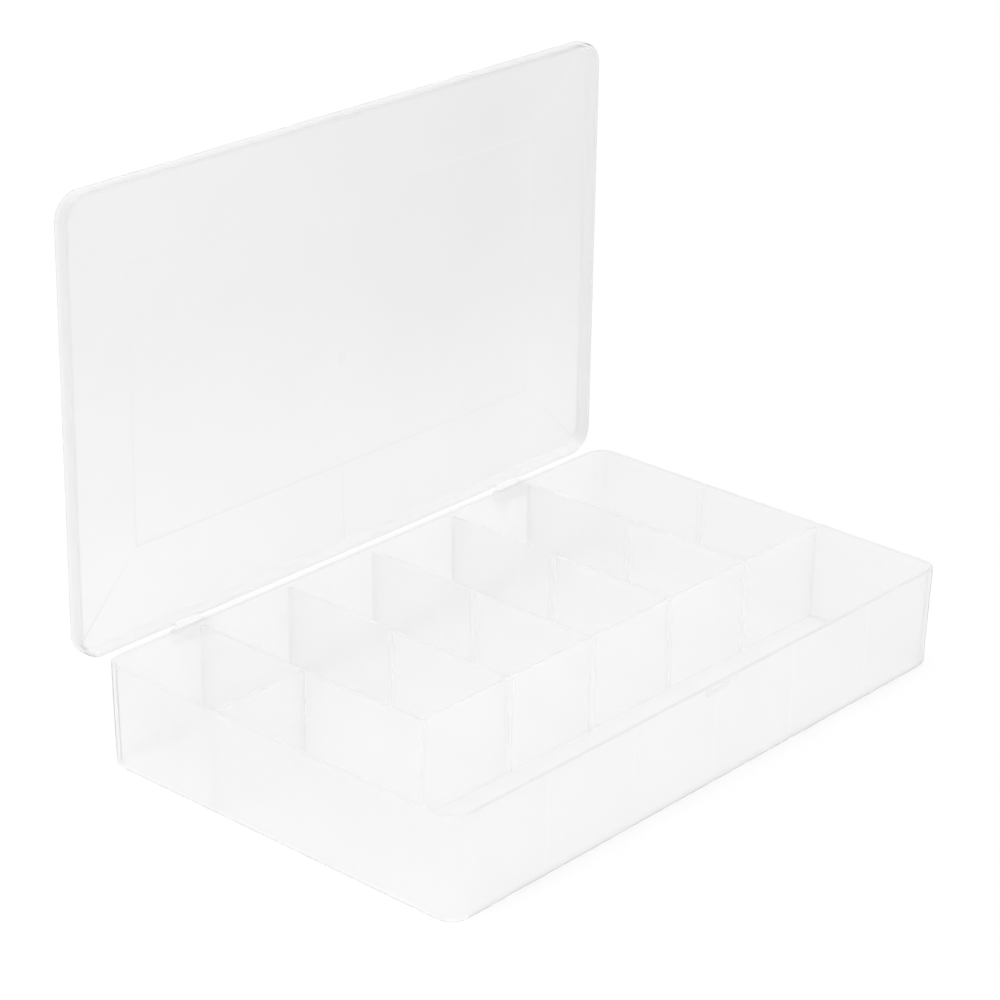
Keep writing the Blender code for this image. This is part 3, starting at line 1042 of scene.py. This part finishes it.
@dataclass
class Lid:
    """The lid, standing open: mitred border, raised field, skirt, hinge arms and bead. In millimetres."""

    wall: float = 1.4
    skirt: float = 6.8
    rise: float = 1.0
    margin: float = 33.0
    corner_radius: float = 10.2
    field_radius: float = 1.0
    edge_radius: float = 2.4
    rim_round: float = 0.3
    crease: float = 0.7
    arm_rise: float = 3.0
    arm_round: float = 0.3
    bead_length: float = 18.0
    bead_proud: float = 0.2
    bead_low: float = 0.25
    bead_high: float = 1.0
    thumb_length: float = 32.0
    thumb_depth: float = 0.4
    thumb_border: float = 1.2
    gate_drop: float = 10.5
    gate_radius: float = 2.2
    gate_proud: float = 0.1
    hinge: Hinge = field(default_factory=Hinge)
    half_length: float = field(init=False)
    top: float = field(init=False)
    field_face: float = field(init=False)
    back: float = field(init=False)
    rim: float = field(init=False)
    centre_z: float = field(init=False)
    bottom: float = field(init=False)

    def __post_init__(self) -> None:
        """Read the lid's place from the frame."""
        high = node_box("lid")[1]
        self.half_length = high.x
        self.top = high.z
        self.field_face = high.y
        self.back = high.y - self.rise
        self.rim = self.back - self.skirt
        # The closed lid's middle lies over the tray's, so the open lid's stands this far over the hinge
        self.centre_z = self.hinge.z + self.hinge.y
        self.bottom = 2 * self.centre_z - self.top

    def build(self) -> Piece:
        """Model the lid.

        Returns:
            The whole moulding.
        """
        lid = self.shell()
        combine(lid, self.arms(), Joining.ADD)
        combine(lid, self.hinge.holes(), Joining.CUT)
        combine(lid, [self.bead()], Joining.ADD)
        combine(lid, [self.thumb_tool()], Joining.CUT)
        combine(lid, [self.gate()], Joining.ADD)
        mark_faces(lid, Zone.EDGE, self.is_skirt)
        mark_faces(lid, Zone.FOLD, self.is_gate)
        mark_faces(lid, Zone.HINGE, self.is_arm)
        return lid

    def is_arm(self, face: Face) -> bool:
        """Return whether a face lies below the skirt, on a hinge arm."""
        return middle_of(face).z < self.bottom - NEAR

    def gate_place(self) -> Vector:
        """Return the middle of the gate mark on the field's outer face, in millimetres."""
        return Vector((0, self.field_face, self.centre_z - self.gate_drop))

    def is_gate(self, face: Face) -> bool:
        """Return whether a face belongs to the gate mark in the middle of the field."""
        distance = (middle_of(face) - self.gate_place()).length
        return spread(face, 0) < 2 * self.gate_radius + NEAR and distance < self.gate_radius + self.wall

    def is_skirt(self, face: Face) -> bool:
        """Return whether a face belongs to the skirt, its rim or what stands on it."""
        return abs(face.normal.y) < FLAT or middle_of(face).y < self.back - 2 * self.wall

    def shell(self) -> Piece:
        """Model the panel with its mitred border, and the skirt around it.

        Returns:
            The shell.
        """
        centre = Vector((0, self.back, self.centre_z)) * MM
        bpy.ops.object.select_all(action="DESELECT")
        bpy.ops.mesh.primitive_plane_add(size=1, location=centre, rotation=(math.radians(-90), 0, 0))
        bpy.context.active_object.scale = (2 * self.half_length * MM, (self.top - self.bottom) * MM, 1)
        shell = name_active("lid_moulding")
        with EditMode(shell) as edit:
            bpy.ops.mesh.select_all(action="SELECT")
            bpy.ops.mesh.bevel(
                offset=self.corner_radius * MM, segments=CORNER_SEGMENTS, affect="VERTICES"
            )
            bpy.ops.mesh.select_all(action="SELECT")
            bpy.ops.mesh.select_mode(type="FACE")
            bpy.ops.mesh.extrude_region_move(TRANSFORM_OT_translate={"value": (0, self.rise * MM, 0)})
            self.draw_in_field(edit)
            edit.pick(Element.FACE, all_at(1, self.back))
            bpy.ops.mesh.delete(type="ONLY_FACE")
            self.draw_creases(edit)
        mark_faces(shell, Zone.FOLD, self.is_fold)
        with EditMode(shell) as edit:
            edit.pick(Element.EDGE, lambda edge: edge.is_boundary)
            bpy.ops.mesh.extrude_region_move(TRANSFORM_OT_translate={"value": (0, -self.skirt * MM, 0)})
            edit.bevel(all_at(1, self.back), self.edge_radius, EDGE_SEGMENTS)
            bpy.ops.mesh.select_all(action="SELECT")
            bpy.ops.mesh.normals_make_consistent(inside=False)
        apply_modifier(shell, "SOLIDIFY", thickness=self.wall * MM, offset=-1, use_even_offset=True)
        soften(shell, self.rim_round)
        return shell

    def draw_in_field(self, edit: EditMode) -> None:
        """Move each corner of the raised field in to its nearly square place.

        Args:
            edit: Edit mode on the lid's sheet.
        """
        half_height = (self.top - self.bottom) / 2
        shrink = self.field_radius / self.corner_radius
        travel = self.margin - self.corner_radius + self.field_radius
        for side in (-1, 1):
            for end in (-1, 1):
                x = side * (self.half_length - self.corner_radius)
                z = self.centre_z + end * (half_height - self.corner_radius)
                edit.pick(Element.VERT, partial(self.in_corner, side, end))
                centre = (x * MM, self.field_face * MM, z * MM)
                bpy.ops.transform.resize(value=(shrink, 1, shrink), center_override=centre)
                bpy.ops.transform.translate(value=(-side * travel * MM, 0, -end * travel * MM))

    def in_corner(self, side: int, end: int, vert: bmesh.types.BMVert) -> bool:
        """Say whether a point belongs to one corner of the raised field.

        Args:
            side: -1 or 1 for the left or right.
            end: -1 or 1 for the bottom or top.
            vert: A point of the lid's sheet.

        Returns:
            Whether it belongs to that corner.
        """
        place = vert.co / MM
        at_corner = (place.x > 0) == (side > 0) and (place.z > self.centre_z) == (end > 0)
        return at_corner and vert_at(1, self.field_face)(vert)

    def draw_creases(self, edit: EditMode) -> None:
        """Give the lid's fold lines narrow strips of their own, painted darker as shade in the creases,
        which show as thin lines.

        They run round the field, out to the four corners, and across the two long slopes.

        Args:
            edit: Edit mode on the lid's sheet.
        """
        edit.pick(Element.FACE, all_at(1, self.field_face))
        bpy.ops.mesh.inset(thickness=self.crease * MM)
        for side in (-1, 1):
            edit.pick(Element.FACE, lambda face: len(face.verts) == 4 and spread(face, 0) > self.margin)
            place = (side * self.crease / 2 * MM, 0, 0)
            bpy.ops.mesh.bisect(plane_co=place, plane_no=(1, 0, 0))

    def is_fold(self, face: Face) -> bool:
        """Say whether a face is one of the narrow strips on the lid's fold lines.

        Args:
            face: A face of the lid's sheet.

        Returns:
            Whether it is one.
        """
        if len(face.verts) > 4:
            return False
        if all_at(1, self.field_face)(face) or spread(face, 0) < 2 * self.crease:
            return True
        rim = [vert.co / MM for vert in face.verts if vert_at(1, self.back)(vert)]
        middle = sum(rim, Vector()) / len(rim)
        across = abs(middle.x) - (self.half_length - self.corner_radius)
        upward = abs(middle.z - self.centre_z) - (self.top - self.centre_z - self.corner_radius)
        return across > 0 and abs(across - upward) < NEAR

    def arms(self) -> list[Piece]:
        """Model the two arms that reach from the skirt round the pins.

        Returns:
            The arms.
        """
        hinge = self.hinge
        arms = []
        for place in hinge.places().values():
            half = hinge.barrel_width / 2
            centre = (place, hinge.y, hinge.z)
            barrel = add_rod("hinge_arm", centre, hinge.barrel_radius, hinge.barrel_width)
            low = (place - half, self.rim, self.bottom)
            high = (place + half, self.rim + self.arm_rise, self.bottom + self.wall / 2)
            arm = wrap([barrel, add_block("arm_root", low, high)])
            soften(arm, self.arm_round)
            arms.append(arm)
        return arms

    def bead(self) -> Piece:
        """Model the catch bead inside the front skirt.

        Returns:
            The bead, with its root in the skirt.
        """
        inner = self.top - self.wall
        low = (-self.bead_length / 2, self.rim + self.bead_low, inner - self.bead_proud)
        high = (self.bead_length / 2, self.rim + self.bead_high, inner + self.wall / 2)
        bead = add_block("catch_bead", low, high)
        with EditMode(bead) as edit:
            edit.bevel(all_at(2, inner - self.bead_proud), self.bead_proud, FINE_SEGMENTS)
        return bead

    def thumb_tool(self) -> Piece:
        """Model the shape that cuts the thumb patch into the front skirt.

        Returns:
            The cutting shape.
        """
        low_y = self.rim + self.thumb_border
        high_y = self.back - self.edge_radius - self.thumb_border
        half = self.thumb_length / 2
        low = (-half, low_y, self.top - self.thumb_depth)
        tool = add_block("thumb_patch", low, (half, high_y, self.top + self.thumb_depth))
        with EditMode(tool) as edit:
            edit.bevel(all_at(2, self.top - self.thumb_depth), self.thumb_depth)
        return tool

    def gate(self) -> Piece:
        """Model the small round mark inside the field, where the melt entered the mould.

        Returns:
            The mark, with its root in the field.
        """
        middle = self.gate_place() - Vector((0, self.wall / 2 + self.gate_proud, 0))
        gate = add_rod("gate_mark", tuple(middle), self.gate_radius, self.wall, ALONG_Y)
        soften(gate, self.gate_proud)
        return gate


@dataclass
class HingePins:
    """The two pins in the lugs. Sizes in millimetres."""

    end_round: float = 0.35
    hinge: Hinge = field(default_factory=Hinge)

    def build(self, side: str) -> Piece:
        """Model one pin.

        Args:
            side: left or right.

        Returns:
            The pin with rounded ends.
        """
        centre = (self.hinge.places()[side], self.hinge.y, self.hinge.z)
        pin = add_rod(f"pin_{side}", centre, self.hinge.pin_radius, self.hinge.pin_length())
        soften(pin, self.end_round, segments=FINE_SEGMENTS)
        return pin


@dataclass(frozen=True)
class Studio:
    """A plain pale floor and soft light from all round, in metres and watts.

    The floor's glow share is how far it shows its own white in place of shadow. The share is higher
    past the box's left end, where the light comes in.
    """

    floor_size: float = 8.0
    floor_drop: float = 0.0002
    floor_roughness: float = 0.9
    floor_colour: str = "#f8f8f8"
    floor_glow: float = 1.04
    floor_glow_share: float = 0.65
    lit_glow_share: float = 0.85
    lit_end: float = -0.137
    shaded_end: float = -0.1
    room_colour: str = "#ffffff"
    room_light: float = 1.0
    lamp_power: float = 1.0
    lamp_size: float = 1.2
    light_bounces: int = 32
    lamp_place: Point = (-0.2, 0.1, 1.2)

    def build(self) -> None:
        """Make the floor, the room's light and one wide lamp overhead."""
        self.add_floor()
        self.add_room()
        self.add_lamp()
        scene = bpy.context.scene
        scene.view_settings.view_transform = "Standard"
        # A ray through the whole box meets many thin walls, each with two faces
        for kind in ("max", "transmission", "diffuse", "glossy"):
            setattr(scene.cycles, f"{kind}_bounces", self.light_bounces)

    def add_floor(self) -> None:
        """Make the floor: white paper that shows its colour to the eye and still takes a shadow."""
        bpy.ops.object.select_all(action="DESELECT")
        bpy.ops.mesh.primitive_plane_add(size=self.floor_size, location=(0, 0, -self.floor_drop))
        floor = name_active("floor")
        material = bpy.data.materials.new("white_paper")
        material.use_nodes = True
        material.cycles.emission_sampling = "NONE"
        tree = material.node_tree
        paper = tree.nodes["Principled BSDF"]
        paper.inputs["Base Color"].default_value = linear(self.floor_colour)
        paper.inputs["Roughness"].default_value = self.floor_roughness
        paper.inputs["Specular IOR Level"].default_value = 0.0
        glow = add_node(tree, "Emission", {"Strength": self.floor_glow})
        place = add_node(tree, "TexCoord").outputs["Object"]
        levels = {
            "Value": add_node(tree, "SeparateXYZ", {0: place}).outputs["X"],
            "From Min": self.lit_end,
            "From Max": self.shaded_end,
            "To Min": self.lit_glow_share,
            "To Max": self.floor_glow_share,
        }
        level = add_node(tree, "MapRange", levels, interpolation_type="SMOOTHSTEP").outputs["Result"]
        share = add_node(tree, "Math", {0: add_seen_rays(tree), 1: level}, operation="MULTIPLY")
        mix = add_node(tree, "MixShader", {0: share.outputs[0], 1: paper.outputs[0], 2: glow.outputs[0]})
        tree.links.new(mix.outputs[0], tree.nodes["Material Output"].inputs["Surface"])
        floor.data.materials.append(material)

    def add_room(self) -> None:
        """Make the room: plain white, with even light from all round."""
        world = bpy.data.worlds.new("room")
        world.use_nodes = True
        room = world.node_tree.nodes["Background"].inputs
        room["Color"].default_value = linear(self.room_colour)
        room["Strength"].default_value = self.room_light
        bpy.context.scene.world = world

    def add_lamp(self) -> None:
        """Make the wide lamp over the box."""
        lamp = bpy.data.lights.new("softbox", "AREA")
        lamp.size = self.lamp_size
        lamp.energy = self.lamp_power
        holder = bpy.data.objects.new("softbox", lamp)
        bpy.context.scene.collection.objects.link(holder)
        holder.location = self.lamp_place
        holder.rotation_euler = (-Vector(self.lamp_place)).to_track_quat("-Z", "Y").to_euler()
        holder.visible_camera = False
        holder.visible_glossy = False
        holder.visible_transmission = False


@dataclass(frozen=True)
class Viewpoint:
    """The camera, as fitted to the photograph: degrees, metres and pixels."""

    turn: float = 48.658
    dip: float = 23.574
    roll: float = 0.978
    place: Point = (-0.82737, -0.709123, 0.561107)
    focal_pixels: float = 3274.657
    photo_pixels: int = 1000
    sensor_mm: float = 36.0
    near_clip: float = 0.05
    far_clip: float = 20.0

    def build(self) -> None:
        """Make the camera and use it for the scene."""
        turn, dip, roll = map(math.radians, (self.turn, self.dip, self.roll))
        ahead = Vector((math.sin(turn) * math.cos(dip), math.cos(turn) * math.cos(dip), -math.sin(dip)))
        level = ahead.cross(Vector((0, 0, 1))).normalized()
        upright = level.cross(ahead)
        right = level * math.cos(roll) + upright * math.sin(roll)
        up = upright * math.cos(roll) - level * math.sin(roll)
        camera = bpy.data.cameras.new("camera")
        camera.sensor_width = self.sensor_mm
        camera.lens = self.focal_pixels / self.photo_pixels * self.sensor_mm
        camera.clip_start = self.near_clip
        camera.clip_end = self.far_clip
        holder = bpy.data.objects.new("camera", camera)
        placed = Matrix((right, up, -ahead)).transposed().to_4x4()
        placed.translation = Vector(self.place)
        holder.matrix_world = placed
        bpy.context.scene.collection.objects.link(holder)
        bpy.context.scene.camera = holder


def main() -> None:
    """Build the box over its frame, and the plain studio around it."""
    logging.basicConfig(level=logging.INFO, format="%(name)s: %(message)s")
    edges = [BRIGHT_RIB.make(), DIM_ROUND.make()]
    hinge_finish = CLEAR_HINGE.make()
    tray_finish = [TRAY_WALL.make(), edges[0], TRAY_RIM.make(), hinge_finish]
    tray_finish += [TRAY_FLOOR.make(), TRAY_FOOT_SHADOW.make()]
    finish_piece(Tray().build(), tray_finish, Body.TRAY, "tray")
    divider_finish = [DIVIDER_WALL.make(), *edges]
    finish_piece(LongDivider().build(), divider_finish, Body.TRAY, "long_divider")
    cross_dividers = CrossDividers()
    for number in CROSS_DIVIDERS:
        divider = cross_dividers.build(number)
        finish_piece(divider, divider_finish, Body.TRAY, f"cross_divider_{number}")
    loose_finish = [NATURAL_DIVIDER.make(), *edges]
    finish_piece(LooseDivider().build(), loose_finish, Body.TRAY, "loose_divider")
    lid_finish = [LID_PANEL.make(), LID_SKIRT.make(), LID_FOLD.make(), hinge_finish]
    finish_piece(Lid().build(), lid_finish, Body.LID, "lid")
    pins = HingePins()
    for side in pins.hinge.places():
        finish_piece(pins.build(side), [hinge_finish], Body.TRAY, f"hinge_pin_{side}")
    Studio().build()
    Viewpoint().build()


if __name__ == "__main__":
    main()
